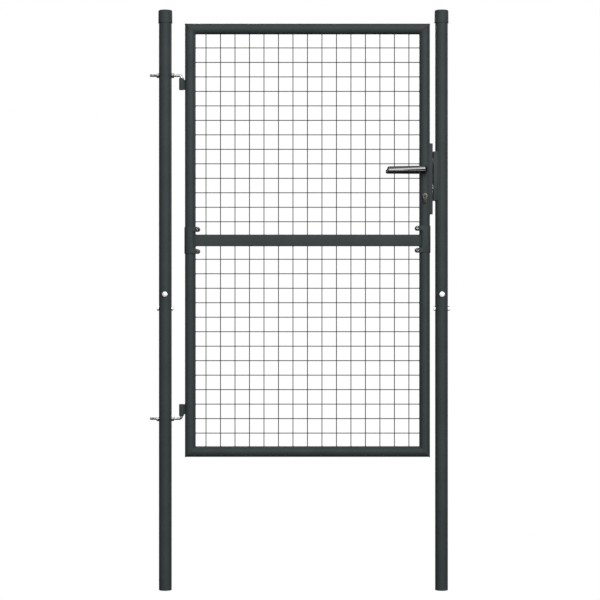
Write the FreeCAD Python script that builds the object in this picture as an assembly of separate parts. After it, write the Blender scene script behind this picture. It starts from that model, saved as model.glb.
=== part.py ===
import FreeCAD, Part
import math
import os

# Garden gate: a wire-mesh leaf on two L-shaped hinge bolts between two round posts, with a lever-handle
# mortise lock.  Millimetres.  X runs along the gate from the hinge post to the latch post, Y runs from
# the front to the back, Z is up.  The origin is on the ground, in the middle of the gate.

V = FreeCAD.Vector
X_AXIS = V(1, 0, 0)
Y_AXIS = V(0, 1, 0)
Z_AXIS = V(0, 0, 1)

# ---- driving dimensions ----

post_diameter = 44.0
post_wall = 1.5
post_height = 2000.0            # ground to the top of the cap
post_pitch = 953.0              # between the post axes
post_split_z = 1000.0           # each post is shipped in two halves

cap_diameter = 49.0
cap_height = 44.0
cap_wall = 3.0

sleeve_length = 150.0           # joining tube inside a split post
sleeve_wall = 2.0

front_bolt_z = 1020.0           # M8 round-head bolt through the upper half and the sleeve
cross_bolt_z = 971.0            # M8 hexagon bolt through the lower half and the sleeve
m8_shank = 8.0
m8_hole = 9.0
m8_flats = 13.0
m8_nut_height = 6.5
m8_head_height = 5.3
round_head_diameter = 19.0
round_head_height = 5.0
bolt_tip = 1.0                  # thread standing out of a nut

hinge_bolt_diameter = 10.0
hinge_bolt_bend = 8.0           # bend radius at the rod's centre line
hinge_bolt_tail = 53.0          # rod end to the hinge post's axis
hinge_offset = 55.8             # hinge post's axis to the leaf's pivot
upper_hinge_z = 1775.0          # this bolt's pin points down
lower_hinge_z = 591.5           # this bolt's pin points up
hinge_nut_flats = 17.0
hinge_nut_height = 8.0

barrel_diameter = 17.0
barrel_length = 41.0
barrel_gap = 8.75               # rod's axis to the near end of its barrel
pin_clearance = 0.06            # radial, pin in barrel
lug_thickness = 4.0
lug_height = 35.0

frame_diameter = 37.0
frame_wall = 1.5
leaf_left = -396.9
leaf_right = 448.35
leaf_bottom = 459.0
leaf_top = 1954.0

crossbar_z = 1206.0             # the leaf is shipped in two halves that meet here
crossbar_height = 40.0
crossbar_depth = 20.0
crossbar_wall = 1.5
stile_sleeve_length = 180.0

saddle_height = 92.0
saddle_sheet = 2.0
ear_height = 16.0
ear_spacing = 76.0              # between the centres of the upper and lower ears
ear_reach = 14.6                # past the stile's inner side
ear_bolt_reach = 7.5
m6_shank = 6.0
m6_hole = 6.6
m6_flats = 10.0
m6_head_height = 4.0
m6_nut_height = 5.0

mesh_pitch = 50.0
wire_diameter = 3.0
weld_sink = 0.4                 # crossing wires are pressed this far into each other
wires_across = 15
wires_up = 13

lock_bottom = 1296.0
lock_top = 1540.0
lock_width = 24.0
lock_wall = 2.0
lock_face_x = 457.25            # outer face of the forend
forend_thickness = 2.5
forend_screw_inset = 12.0

case_bottom = 1318.0
case_top = 1518.0
case_width = 16.0
case_sheet = 1.5
case_back_x = 416.75

handle_z = 1450.0
spindle_side = 8.0
neck_width = 15.0
neck_height = 21.0
neck_start = 19.4               # stands this far from the leaf's middle plane
grip_middle_y = 55.0
grip_thickness = 13.0
grip_tip = 131.0                # handle axis to the end of the grip
tip_top_drop = 3.0              # the grip is this much lower at its tip, above
tip_bottom_rise = 0.7           # and this much higher below
lever_outer_bend = 12.0
lever_inner_bend = 4.0
lever_edge = 4.0

key_z = 1358.0                  # 92 mm below the handle's axis
cylinder_radius = 8.5
cylinder_lobe = 10.0
cylinder_drop = 24.5            # plug axis to the bottom of the lobe
cylinder_half_length = 27.0
cylinder_screw_drop = 19.5
plug_radius = 6.45
cam_radius = 13.2
cam_width = 9.6
cam_window_half = 5.6           # the cam's finger passes through a window in the case's back
cam_window_height = 18.0

latch_z = 1478.0
latch_height = 24.0
latch_thickness = 12.0
latch_throw = 10.0

deadbolt_z = 1380.0
deadbolt_height = 37.0
deadbolt_thickness = 10.0
deadbolt_throw = 14.0

keep_bottom = 1343.0
keep_top = 1512.0
keep_face_x = 458.6
keep_half_width = 18.0
keep_sheet = 2.5

# ---- sizes that follow from them ----

post_radius = post_diameter / 2
frame_radius = frame_diameter / 2
frame_bore = frame_radius - frame_wall
tip_reach = m8_nut_height + bolt_tip
overall_width = hinge_bolt_tail + post_pitch + post_radius + tip_reach
hinge_post_x = -overall_width / 2 + hinge_bolt_tail
latch_post_x = hinge_post_x + post_pitch
hinge_x = hinge_post_x + hinge_offset
post_xs = {"hinge": hinge_post_x, "latch": latch_post_x}

left_stile_x = leaf_left + frame_radius
right_stile_x = leaf_right - frame_radius
bottom_rail_z = leaf_bottom + frame_radius
top_rail_z = leaf_top - frame_radius
leaf_middle_x = (leaf_left + leaf_right) / 2
crossbar_bottom = crossbar_z - crossbar_height / 2
crossbar_top = crossbar_z + crossbar_height / 2

handle_x = right_stile_x
pin_radius = hinge_bolt_diameter / 2
case_half = case_width / 2
case_front_x = lock_face_x - forend_thickness
case_inner_half = case_half - case_sheet
bush_radius = neck_width / 2 - 0.1


# ---- shapes used again and again ----

def rod(radius, start, direction, length):
    return Part.makeCylinder(radius, length, start, direction)


def tube(radius, wall, start, direction, length):
    return rod(radius, start, direction, length).cut(rod(radius - wall, start, direction, length))


def box(x0, x1, y0, y1, z0, z1):
    return Part.makeBox(x1 - x0, y1 - y0, z1 - z0, V(x0, y0, z0))


def prism_along_y(points, y0, y1):
    """A closed outline of (x, z) points, carried from y0 to y1."""
    corners = [V(x, y0, z) for x, z in points]
    face = Part.Face(Part.makePolygon(corners + corners[:1]))
    return face.extrude(V(0, y1 - y0, 0))


def hexagon(flats, height, start, direction, bore=0.0):
    """A hexagonal head or nut with its outer corners turned off at 30 degrees."""
    corner = flats / math.sqrt(3)
    points = [V(corner * math.cos(math.radians(60 * i)), corner * math.sin(math.radians(60 * i)), 0)
              for i in range(6)]
    body = Part.Face(Part.makePolygon(points + points[:1])).extrude(V(0, 0, height))
    drop = (corner - flats / 2 * 0.96) * math.tan(math.radians(30))
    cone = Part.makeCone(corner + (height - drop) / math.tan(math.radians(30)), flats / 2 * 0.96, height)
    body = body.common(cone)
    if bore:
        body = body.cut(rod(bore, V(0, 0, -1), Z_AXIS, height + 2))
    turn = FreeCAD.Rotation(Z_AXIS, direction)
    body.Placement = FreeCAD.Placement(start, turn)
    return body


def coil(radius, wire, turns, pitch, start, direction):
    """A helical spring of round wire."""
    helix = Part.makeHelix(pitch, pitch * turns, radius)
    section = Part.Wire(Part.makeCircle(wire / 2, V(radius, 0, 0), Y_AXIS))
    spring = Part.Wire(helix).makePipeShell([section], True, True)
    spring.Placement = FreeCAD.Placement(start, FreeCAD.Rotation(Z_AXIS, direction))
    return spring


def rounded(shape, radius, chosen):
    """Round the edges that chosen(edge) picks."""
    edges = [edge for edge in shape.Edges if chosen(edge)]
    return shape.makeFillet(radius, edges)


def upright_at(x, y):
    """Picks the upright edge that stands at x, y."""
    def chosen(edge):
        room = edge.BoundBox
        return max(abs(room.XMin - x), abs(room.XMax - x), abs(room.YMin - y), abs(room.YMax - y)) < 0.1
    return chosen


def euro_profile(grow, y0, y1):
    """The keyhole-shaped outline of a profile cylinder, grown evenly, from y0 to y1."""
    round_part = rod(cylinder_radius + grow, V(handle_x, y0, key_z), Y_AXIS, y1 - y0)
    lobe_radius = cylinder_lobe / 2 + grow
    lobe_z = key_z - cylinder_drop + cylinder_lobe / 2
    lobe_end = rod(lobe_radius, V(handle_x, y0, lobe_z), Y_AXIS, y1 - y0)
    lobe = box(handle_x - lobe_radius, handle_x + lobe_radius, y0, y1, lobe_z, key_z)
    return round_part.fuse([lobe, lobe_end]).removeSplitter()


def group(solids):
    return Part.makeCompound(solids)


parts = {}


# ---- posts ----

def post_half(x, z0, z1, holes_x, holes_y):
    half = tube(post_radius, post_wall, V(x, 0, z0), Z_AXIS, z1 - z0)
    for z, diameter in holes_x:
        half = half.cut(rod(diameter / 2, V(x - post_radius - 5, 0, z), X_AXIS, post_diameter + 10))
    for z, diameter in holes_y:
        half = half.cut(rod(diameter / 2, V(x, -post_radius - 5, z), Y_AXIS, post_diameter + 10))
    return half


def post_sleeve(x):
    radius = post_radius - post_wall - 0.1
    sleeve = tube(radius, sleeve_wall, V(x, 0, post_split_z - sleeve_length / 2), Z_AXIS, sleeve_length)
    sleeve = sleeve.cut(rod(m8_hole / 2, V(x - post_radius, 0, cross_bolt_z), X_AXIS, post_diameter))
    return sleeve.cut(rod(m8_hole / 2, V(x, -post_radius, front_bolt_z), Y_AXIS, post_diameter))


def post_cap(x):
    outer = rod(cap_diameter / 2, V(x, 0, post_height - cap_height), Z_AXIS, cap_height)
    outer = rounded(outer, 3.0, lambda edge: edge.BoundBox.ZMin > post_height - 1)
    return outer.cut(rod(post_radius + 0.1, V(x, 0, post_height - cap_height), Z_AXIS, cap_height - cap_wall))


hinge_hole = hinge_bolt_diameter + 1
post_top = post_height - cap_wall - 0.2
for side, x in post_xs.items():
    lower_holes = [(cross_bolt_z, m8_hole)]
    upper_holes = []
    if side == "hinge":
        lower_holes.append((lower_hinge_z, hinge_hole))
        upper_holes.append((upper_hinge_z, hinge_hole))
    parts[side + "_post_lower"] = post_half(x, 0, post_split_z, lower_holes, [])
    parts[side + "_post_upper"] = post_half(x, post_split_z, post_top, upper_holes, [(front_bolt_z, m8_hole)])
    parts[side + "_post_sleeve"] = post_sleeve(x)
    parts[side + "_post_cap"] = post_cap(x)

# windows in the latch post behind the keep, for the latch bolt and the deadbolt
window_play = 1.0
for middle, height, thickness in ((latch_z, latch_height, latch_thickness),
                                  (deadbolt_z, deadbolt_height, deadbolt_thickness)):
    half_height = height / 2 + window_play
    half_width = thickness / 2 + window_play
    window = box(latch_post_x - post_radius - 5, latch_post_x - post_radius + 8,
                 -half_width, half_width, middle - half_height, middle + half_height)
    parts["latch_post_upper"] = parts["latch_post_upper"].cut(window)


# ---- bolts that hold the post halves together ----

def round_head_bolt(x):
    seat = -post_radius
    dome_radius = ((round_head_diameter / 2) ** 2 + round_head_height ** 2) / (2 * round_head_height)
    dome = Part.makeSphere(dome_radius, V(x, seat - round_head_height + dome_radius, front_bolt_z))
    head = dome.common(rod(round_head_diameter / 2, V(x, seat, front_bolt_z), -Y_AXIS, round_head_height))
    shank = rod(m8_shank / 2, V(x, seat, front_bolt_z), Y_AXIS, post_diameter + tip_reach)
    return head.fuse(shank)


def cross_bolt(x, outward):
    """Head on the gate's side of the post, thread end on the outer side."""
    away = X_AXIS * outward
    head = hexagon(m8_flats, m8_head_height, V(x, 0, cross_bolt_z) - away * post_radius, -away)
    start = V(x, 0, cross_bolt_z) - away * post_radius
    return head.fuse(rod(m8_shank / 2, start, away, post_diameter + tip_reach))


outward_of = {"hinge": -1, "latch": 1}
parts["post_front_bolts"] = group([round_head_bolt(x) for x in post_xs.values()])
parts["post_front_nuts"] = group([
    hexagon(m8_flats, m8_nut_height, V(x, post_radius, front_bolt_z), Y_AXIS, m8_shank / 2)
    for x in post_xs.values()])
parts["post_cross_bolts"] = group([cross_bolt(x, outward_of[side]) for side, x in post_xs.items()])
parts["post_cross_nuts"] = group([
    hexagon(m8_flats, m8_nut_height, V(x + outward_of[side] * post_radius, 0, cross_bolt_z),
            X_AXIS * outward_of[side], m8_shank / 2)
    for side, x in post_xs.items()])


# ---- hinge bolts: a threaded rod across the post, bent into the pin that the leaf hangs on ----

def hinge_bolt(z, up):
    """up is 1 for a pin that points up, -1 for one that points down."""
    bend_centre = V(hinge_x - hinge_bolt_bend, 0, z + up * hinge_bolt_bend)
    start = V(hinge_post_x - hinge_bolt_tail, 0, z)
    bend_start = V(hinge_x - hinge_bolt_bend, 0, z)
    bend_end = V(hinge_x, 0, z + up * hinge_bolt_bend)
    half_turn = math.sin(math.radians(45)) * hinge_bolt_bend
    bend_middle = bend_centre + V(half_turn, 0, -up * half_turn)
    pin_end = V(hinge_x, 0, z + up * (barrel_gap + barrel_length - 1))
    path = Part.Wire([
        Part.LineSegment(start, bend_start).toShape(),
        Part.Arc(bend_start, bend_middle, bend_end).toShape(),
        Part.LineSegment(bend_end, pin_end).toShape()])
    section = Part.Wire(Part.makeCircle(pin_radius, start, X_AXIS))
    bolt = path.makePipeShell([section], True, False)
    return bolt.makeChamfer(0.8, [edge for edge in bolt.Edges if edge.BoundBox.XMax < start.x + 0.1])


def hinge_nut(z, way):
    start = V(hinge_post_x + way * post_radius, 0, z)
    return hexagon(hinge_nut_flats, hinge_nut_height, start, X_AXIS * way, pin_radius)


def hinge_barrel(z, up):
    near = z + up * barrel_gap
    start = V(hinge_x, 0, near)
    barrel = tube(barrel_diameter / 2, barrel_diameter / 2 - pin_radius - pin_clearance,
                  start, Z_AXIS * up, barrel_length)
    return rounded(barrel, 1.2, lambda edge: isinstance(edge.Curve, Part.Circle)
                   and edge.Curve.Radius > pin_radius + 1)


def hinge_lug(z, up):
    """The plate between a barrel and the stile that it is welded to."""
    far = z + up * (barrel_gap + barrel_length)
    z0, z1 = sorted((far, far - up * lug_height))
    lug = box(hinge_x, left_stile_x, -lug_thickness / 2, lug_thickness / 2, z0, z1)
    lug = lug.cut(rod(barrel_diameter / 2, V(hinge_x, 0, z0 - 1), Z_AXIS, lug_height + 2))
    return lug.cut(rod(frame_radius, V(left_stile_x, 0, z0 - 1), Z_AXIS, lug_height + 2))


hinges = {"upper": (upper_hinge_z, -1), "lower": (lower_hinge_z, 1)}
for level, (z, up) in hinges.items():
    parts[level + "_hinge_bolt"] = hinge_bolt(z, up)
    parts[level + "_hinge_barrel"] = hinge_barrel(z, up)
    parts[level + "_hinge_lug"] = hinge_lug(z, up)
parts["hinge_nuts"] = group([hinge_nut(z, way) for z, _ in hinges.values() for way in (-1, 1)])


# ---- leaf frame: round tube, mitred at the corners ----

reach = 2 * frame_diameter


def corner_cut(points):
    return prism_along_y(points, -frame_diameter, frame_diameter)


def rail(z, up):
    """up is 1 for the top rail and -1 for the bottom rail."""
    bar = tube(frame_radius, frame_wall, V(leaf_left, 0, z), X_AXIS, leaf_right - leaf_left)
    keep = corner_cut([
        (left_stile_x - reach, z + up * reach), (right_stile_x + reach, z + up * reach),
        (right_stile_x - reach, z - up * reach), (left_stile_x + reach, z - up * reach)])
    return bar.common(keep)


def half_stile(x, inward, rail_z, up):
    """From the crossbar's middle to a mitred corner.  inward points to the middle of the leaf."""
    end_z = rail_z + up * frame_radius
    bar = tube(frame_radius, frame_wall, V(x, 0, crossbar_z), Z_AXIS * up, abs(end_z - crossbar_z))
    keep = corner_cut([
        (x - inward * reach, rail_z + up * reach), (x + inward * reach, rail_z - up * reach),
        (x + inward * reach, crossbar_z), (x - inward * reach, crossbar_z)])
    return bar.common(keep)


parts["top_rail"] = rail(top_rail_z, 1)
parts["bottom_rail"] = rail(bottom_rail_z, -1)
parts["left_stile_upper"] = half_stile(left_stile_x, 1, top_rail_z, 1)
parts["left_stile_lower"] = half_stile(left_stile_x, 1, bottom_rail_z, -1)
parts["right_stile_lower"] = half_stile(right_stile_x, -1, bottom_rail_z, -1)

# the lock's half of the right stile is slotted for the lock case and bored for handle and key
lock_stile = half_stile(right_stile_x, -1, top_rail_z, 1)
lock_stile = lock_stile.cut(box(right_stile_x, leaf_right + 5, -case_half - 0.5, case_half + 0.5,
                                case_bottom - 1, case_top + 1))
lock_stile = lock_stile.cut(rod(bush_radius + 0.1, V(handle_x, -frame_diameter, handle_z), Y_AXIS,
                                2 * frame_diameter))
parts["right_stile_upper"] = lock_stile.cut(euro_profile(0.3, -frame_diameter, frame_diameter))

for side, x in (("left", left_stile_x), ("right", right_stile_x)):
    start = V(x, 0, crossbar_z - stile_sleeve_length / 2)
    parts[side + "_stile_sleeve"] = tube(frame_bore - 0.1, sleeve_wall, start, Z_AXIS, stile_sleeve_length)

bar = box(left_stile_x, right_stile_x, -crossbar_depth / 2, crossbar_depth / 2, crossbar_bottom, crossbar_top)
bar = rounded(bar, 2.0, lambda edge: edge.Length > 2 * crossbar_height)
bar_hollow = box(left_stile_x, right_stile_x, crossbar_wall - crossbar_depth / 2,
                 crossbar_depth / 2 - crossbar_wall, crossbar_bottom + crossbar_wall, crossbar_top - crossbar_wall)
bar = bar.cut(bar_hollow)
for x in (left_stile_x, right_stile_x):
    bar = bar.cut(rod(frame_radius, V(x, 0, crossbar_bottom - 1), Z_AXIS, crossbar_height + 2))
parts["crossbar"] = bar


# ---- saddles: sheet straps bent round the stiles where their halves meet ----

saddle_inner = frame_radius + 0.1
saddle_outer = saddle_inner + saddle_sheet
saddle_cheek = 9.0              # the cheeks reach this far past the stile's axis


def saddle(x, inward, z):
    strap = tube(saddle_outer, saddle_sheet, V(x, 0, z - saddle_height / 2), Z_AXIS, saddle_height)
    x0, x1 = sorted((x, x - inward * frame_diameter))
    strap = strap.common(box(x0, x1, -frame_diameter, frame_diameter, z - saddle_height, z + saddle_height))
    x0, x1 = sorted((x, x + inward * saddle_cheek))
    for front in (-saddle_outer, saddle_inner):
        strap = strap.fuse(box(x0, x1, front, front + saddle_sheet, z - saddle_height / 2, z + saddle_height / 2))
    for middle in (z - ear_spacing / 2, z + ear_spacing / 2):
        ear_end = x + inward * (frame_radius + ear_reach - ear_height / 2)
        x0, x1 = sorted((x, ear_end))
        for front in (-saddle_outer, saddle_inner):
            ear = box(x0, x1, front, front + saddle_sheet, middle - ear_height / 2, middle + ear_height / 2)
            nose = rod(ear_height / 2, V(ear_end, front, middle), Y_AXIS, saddle_sheet)
            strap = strap.fuse([ear, nose])
        bolt_x = x + inward * (frame_radius + ear_bolt_reach)
        strap = strap.cut(rod(m6_hole / 2, V(bolt_x, -frame_diameter, middle), Y_AXIS, 2 * frame_diameter))
    return strap.removeSplitter()


def ear_bolt(x, z):
    head = hexagon(m6_flats, m6_head_height, V(x, -saddle_outer, z), -Y_AXIS)
    return head.fuse(rod(m6_shank / 2, V(x, -saddle_outer, z), Y_AXIS, 2 * saddle_outer + m6_nut_height + bolt_tip))


saddle_zs = {"left": crossbar_z, "right": crossbar_z + 4}
ear_bolt_places = []
for side, x, inward in (("left", left_stile_x, 1), ("right", right_stile_x, -1)):
    z = saddle_zs[side]
    parts[side + "_saddle"] = saddle(x, inward, z)
    for middle in (z - ear_spacing / 2, z + ear_spacing / 2):
        ear_bolt_places.append((x + inward * (frame_radius + ear_bolt_reach), middle))
parts["saddle_bolts"] = group([ear_bolt(x, z) for x, z in ear_bolt_places])
parts["saddle_nuts"] = group([
    hexagon(m6_flats, m6_nut_height, V(x, saddle_outer, z), Y_AXIS, m6_shank / 2) for x, z in ear_bolt_places])


# ---- welded wire mesh: the upright wires lie in front of the level ones ----

def wire_mesh(z0, z1, first_z):
    radius = wire_diameter / 2
    offset = (wire_diameter - weld_sink) / 2
    x0 = left_stile_x + frame_radius
    x1 = right_stile_x - frame_radius
    middle = (wires_across - 1) / 2
    uprights = [rod(radius, V(leaf_middle_x + (i - middle) * mesh_pitch, -offset, z0), Z_AXIS, z1 - z0)
                for i in range(wires_across)]
    levels = [rod(radius, V(x0, offset, first_z + i * mesh_pitch), X_AXIS, x1 - x0) for i in range(wires_up)]
    return uprights[0].fuse(uprights[1:] + levels)


parts["upper_mesh"] = wire_mesh(crossbar_top, top_rail_z - frame_radius, 1270.5)
parts["lower_mesh"] = wire_mesh(bottom_rail_z + frame_radius, crossbar_bottom, 541.0)


# ---- lock pocket and mortise lock ----

pocket = box(right_stile_x, case_front_x, -lock_width / 2, lock_width / 2, lock_bottom, lock_top)
pocket = pocket.cut(box(right_stile_x, case_front_x, lock_wall - lock_width / 2, lock_width / 2 - lock_wall,
                        lock_bottom + lock_wall, lock_top - lock_wall))
parts["lock_housing"] = pocket.cut(rod(frame_radius, V(right_stile_x, 0, lock_bottom - 1), Z_AXIS,
                                       lock_top - lock_bottom + 2))


def bolt_window(x0, x1, middle, height, thickness, play):
    half_width = thickness / 2 + play
    half_height = height / 2 + play
    return box(x0, x1, -half_width, half_width, middle - half_height, middle + half_height)


def cut_bolt_windows(shape, x0, x1, play):
    shape = shape.cut(bolt_window(x0, x1, latch_z, latch_height, latch_thickness, play))
    return shape.cut(bolt_window(x0, x1, deadbolt_z, deadbolt_height, deadbolt_thickness, play))


screw_zs = (lock_bottom + forend_screw_inset, lock_top - forend_screw_inset)
cylinder_screw_z = key_z - cylinder_screw_drop
forend = box(case_front_x, lock_face_x, -lock_width / 2, lock_width / 2, lock_bottom, lock_top)
forend = rounded(forend, 2.0, lambda edge: edge.Length < forend_thickness + 0.1)
forend = cut_bolt_windows(forend, case_front_x - 1, lock_face_x + 1, 0.4)
for z in screw_zs:
    forend = forend.cut(Part.makeCone(2.6, 4.6, forend_thickness, V(case_front_x, 0, z), X_AXIS))
forend = forend.cut(Part.makeCone(2.6, 4.6, forend_thickness, V(case_front_x, 0, cylinder_screw_z), X_AXIS))
parts["lock_forend"] = forend

case_edge_x = case_front_x - 0.1
case = box(case_back_x, case_edge_x, -case_half, case_inner_half, case_bottom, case_top)
case = case.cut(box(case_back_x + case_sheet, case_edge_x - case_sheet, -case_inner_half, case_half,
                    case_bottom + case_sheet, case_top - case_sheet))
case = cut_bolt_windows(case, case_edge_x - 2 * case_sheet, case_edge_x + 1, 0.4)
case = case.cut(rod(2.7, V(case_edge_x + 1, 0, cylinder_screw_z), -X_AXIS, 6))
case = case.cut(box(case_back_x - 1, case_back_x + case_sheet + 1, -cam_window_half, cam_window_half,
                    key_z - cam_window_height / 2, key_z + cam_window_height / 2))
cover = box(case_back_x, case_edge_x, case_inner_half, case_half, case_bottom, case_top)
follower_boss = 8.0
for name, sheet in (("lock_case", case), ("lock_case_cover", cover)):
    sheet = sheet.cut(rod(follower_boss + 0.05, V(handle_x, -case_half - 1, handle_z), Y_AXIS, case_width + 2))
    parts[name] = sheet.cut(euro_profile(0.3, -case_half - 1, case_half + 1))


def forend_screw(z):
    head = Part.makeCone(2.5, 4.5, forend_thickness, V(case_front_x, 0, z), X_AXIS)
    dome = rod(4.5, V(lock_face_x, 0, z), X_AXIS, 0.4)
    screw = head.fuse([dome, rod(2.5, V(case_front_x, 0, z), -X_AXIS, 4.0)])
    return screw.cut(rod(1.6, V(lock_face_x + 1, 0, z), -X_AXIS, 2.2))


parts["forend_screws"] = group([forend_screw(z) for z in screw_zs])

# profile cylinder: body with a gap in its middle for the cam, a plug in each half, one fixing screw
cylinder = euro_profile(0.0, -cylinder_half_length, cylinder_half_length)
gap = cam_width / 2 + 0.3
cam_space = rod(cam_radius + 0.6, V(handle_x, -gap, key_z), Y_AXIS, 2 * gap)
cylinder = cylinder.cut(cam_space)
cylinder = cylinder.cut(rod(plug_radius + 0.05, V(handle_x, -cylinder_half_length, key_z), Y_AXIS,
                            2 * cylinder_half_length))
parts["cylinder_body"] = cylinder.cut(rod(2.55, V(handle_x - 6, 0, cylinder_screw_z), X_AXIS, 12))

screw_shank = rod(2.5, V(handle_x - 5, 0, cylinder_screw_z), X_AXIS, case_front_x - handle_x + 5)
screw_head = Part.makeCone(2.5, 4.5, forend_thickness, V(case_front_x, 0, cylinder_screw_z), X_AXIS)
parts["cylinder_screw"] = screw_shank.fuse(screw_head)


def plug(way):
    """One of the two key plugs; way is -1 at the front and 1 at the back."""
    length = cylinder_half_length - gap
    barrel = rod(plug_radius, V(handle_x, way * gap, key_z), Y_AXIS * way, length + 0.5)
    y0, y1 = sorted((way * (cylinder_half_length + 1), way * 8.0))
    return barrel.cut(box(handle_x - 1.2, handle_x + 1.2, y0, y1, key_z - 5.0, key_z + 3.6))


cam = rod(plug_radius, V(handle_x, -cam_width / 2, key_z), Y_AXIS, cam_width)
cam_finger = box(handle_x - 4, handle_x + 4, -cam_width / 2, cam_width / 2, key_z - cam_radius - 2, key_z)
cam_finger = cam_finger.common(rod(cam_radius, V(handle_x, -cam_width / 2, key_z), Y_AXIS, cam_width))
parts["cylinder_plugs"] = group([plug(-1), plug(1)])
parts["cylinder_cam"] = cam.fuse(cam_finger).removeSplitter()

# latch bolt: bevelled head and a flat tail
latch_tip_x = lock_face_x + latch_throw
latch_back_x = latch_tip_x - 27.0
z0 = latch_z - latch_height / 2
z1 = latch_z + latch_height / 2
latch = box(latch_back_x, latch_tip_x, -latch_thickness / 2, latch_thickness / 2, z0, z1)
bevel = Part.Face(Part.makePolygon([
    V(latch_tip_x + 1, -latch_thickness, z0), V(lock_face_x + 2.0, -latch_thickness, z0),
    V(lock_face_x + 2.0, -latch_thickness / 2, z0), V(latch_tip_x, latch_thickness / 2 - 3.0, z0),
    V(latch_tip_x + 1, latch_thickness / 2 - 3.0, z0), V(latch_tip_x + 1, -latch_thickness, z0)]))
latch = latch.cut(bevel.extrude(V(0, 0, latch_height)))
parts["latch_bolt"] = latch.fuse(box(430.0, latch_back_x, -1.5, 1.5, latch_z - 8, latch_z + 8))

# deadbolt: a block relieved for the sweep of the cam, and a flat tail above it
bolt_tip_x = lock_face_x + deadbolt_throw
bolt_back_x = 445.25
sweep = cam_radius + 0.5
deadbolt = bolt_window(bolt_back_x, bolt_tip_x, deadbolt_z, deadbolt_height, deadbolt_thickness, 0)
deadbolt = deadbolt.makeChamfer(0.8, [edge for edge in deadbolt.Edges if edge.BoundBox.XMin > bolt_tip_x - 0.1])
for x in (handle_x, handle_x + deadbolt_throw):
    deadbolt = deadbolt.cut(rod(sweep, V(x, -10, key_z), Y_AXIS, 20))
deadbolt = deadbolt.cut(box(handle_x, handle_x + deadbolt_throw, -10, 10, key_z - sweep, key_z + sweep))
parts["deadbolt"] = deadbolt.fuse(box(433.0, bolt_back_x, -1.5, 1.5, 1376.0, 1396.0))

# follower, turned by the spindle, with an arm that its spring bears on
boss = rod(follower_boss, V(handle_x, -case_half - 0.5, handle_z), Y_AXIS, case_width + 1)
hub = rod(10.0, V(handle_x, -4.8, handle_z), Y_AXIS, 9.6)
arm = box(handle_x - 3, handle_x + 3, -4.8, 4.8, handle_z - 22, handle_z)
follower = boss.fuse([hub, arm]).removeSplitter()
socket = spindle_side / 2 + 0.05
parts["follower"] = follower.cut(box(handle_x - socket, handle_x + socket, -20, 20,
                                     handle_z - socket, handle_z + socket))
parts["follower_spring"] = coil(9.0, 0.9, 0.9, 0.5, V(handle_x, 5.4, handle_z), Y_AXIS)
parts["latch_spring"] = coil(3.5, 0.9, 5, 2.1, V(case_back_x + case_sheet + 0.6, 0, latch_z), X_AXIS)


# ---- handles ----

def lever(way):
    """One lever: a neck on the spindle, bent into a grip that tapers to its tip."""
    neck_right = handle_x + neck_width / 2
    neck_left = handle_x - neck_width / 2
    tip_x = handle_x - grip_tip
    near = way * (grip_middle_y - grip_thickness / 2)
    far = way * (grip_middle_y + grip_thickness / 2)
    start = way * neck_start
    corners = [V(neck_right, start, 0), V(neck_right, far, 0), V(tip_x, far, 0),
               V(tip_x, near, 0), V(neck_left, near, 0), V(neck_left, start, 0)]
    plan = Part.Face(Part.makePolygon(corners + corners[:1])).extrude(V(0, 0, neck_height))
    plan.translate(V(0, 0, handle_z - neck_height / 2))
    plan = rounded(plan, lever_outer_bend, upright_at(neck_right, far))
    plan = rounded(plan, lever_inner_bend, upright_at(neck_left, near))
    top = handle_z + neck_height / 2
    bottom = handle_z - neck_height / 2
    side = prism_along_y([(neck_right, top), (tip_x, top - tip_top_drop),
                          (tip_x, bottom + tip_bottom_rise), (neck_right, bottom)],
                         -2 * grip_middle_y, 2 * grip_middle_y)
    shape = rounded(plan.common(side), lever_edge, lambda edge: abs(edge.BoundBox.YMin - start) > 0.1
                    or abs(edge.BoundBox.YMax - start) > 0.1)
    y0, y1 = sorted((way * (neck_start - 1), way * 46.0))
    return shape.cut(box(handle_x - socket, handle_x + socket, y0, y1, handle_z - socket, handle_z + socket))


grub_y = 30.0
for name, way in (("front_lever", -1), ("rear_lever", 1)):
    grub_hole = rod(2.5, V(handle_x, way * grub_y, handle_z - 20), Z_AXIS, 20 - socket)
    parts[name] = lever(way).cut(grub_hole)
parts["lever_grub_screws"] = group([
    rod(2.45, V(handle_x, way * grub_y, handle_z - neck_height / 2 + 0.5), Z_AXIS,
        neck_height / 2 - 0.5 - socket).cut(
        rod(1.2, V(handle_x, way * grub_y, handle_z - neck_height / 2), Z_AXIS, 2.5))
    for way in (-1, 1)])
half = spindle_side / 2
parts["spindle"] = box(handle_x - half, handle_x + half, -45, 45, handle_z - half, handle_z + half)


def lever_bush(way):
    """A plastic ring in the stile's wall that centres the spindle's hole and closes it."""
    ring = rod(bush_radius, V(handle_x, way * (case_half + 1.0), handle_z), Y_AXIS * way,
               neck_start - 0.3 - case_half - 1.0)
    return ring.cut(rod(6.1, V(handle_x, way * case_half, handle_z), Y_AXIS * way, 20))


parts["lever_bushes"] = group([lever_bush(-1), lever_bush(1)])


# ---- keep on the latch post ----

keep = box(keep_face_x, latch_post_x, -keep_half_width, keep_half_width, keep_bottom, keep_top)
keep = rounded(keep, 3.0, lambda edge: edge.BoundBox.XMax < keep_face_x + 0.1
               and edge.Length > keep_top - keep_bottom - 1)
keep = keep.cut(box(keep_face_x + keep_sheet, latch_post_x, keep_sheet - keep_half_width,
                    keep_half_width - keep_sheet, keep_bottom + keep_sheet, keep_top - keep_sheet))
keep = keep.cut(rod(post_radius, V(latch_post_x, 0, keep_bottom - 1), Z_AXIS, keep_top - keep_bottom + 2))
parts["keep"] = cut_bolt_windows(keep, keep_face_x - 1, keep_face_x + keep_sheet + 1, window_play)


# ---- write the parts ----

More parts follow.
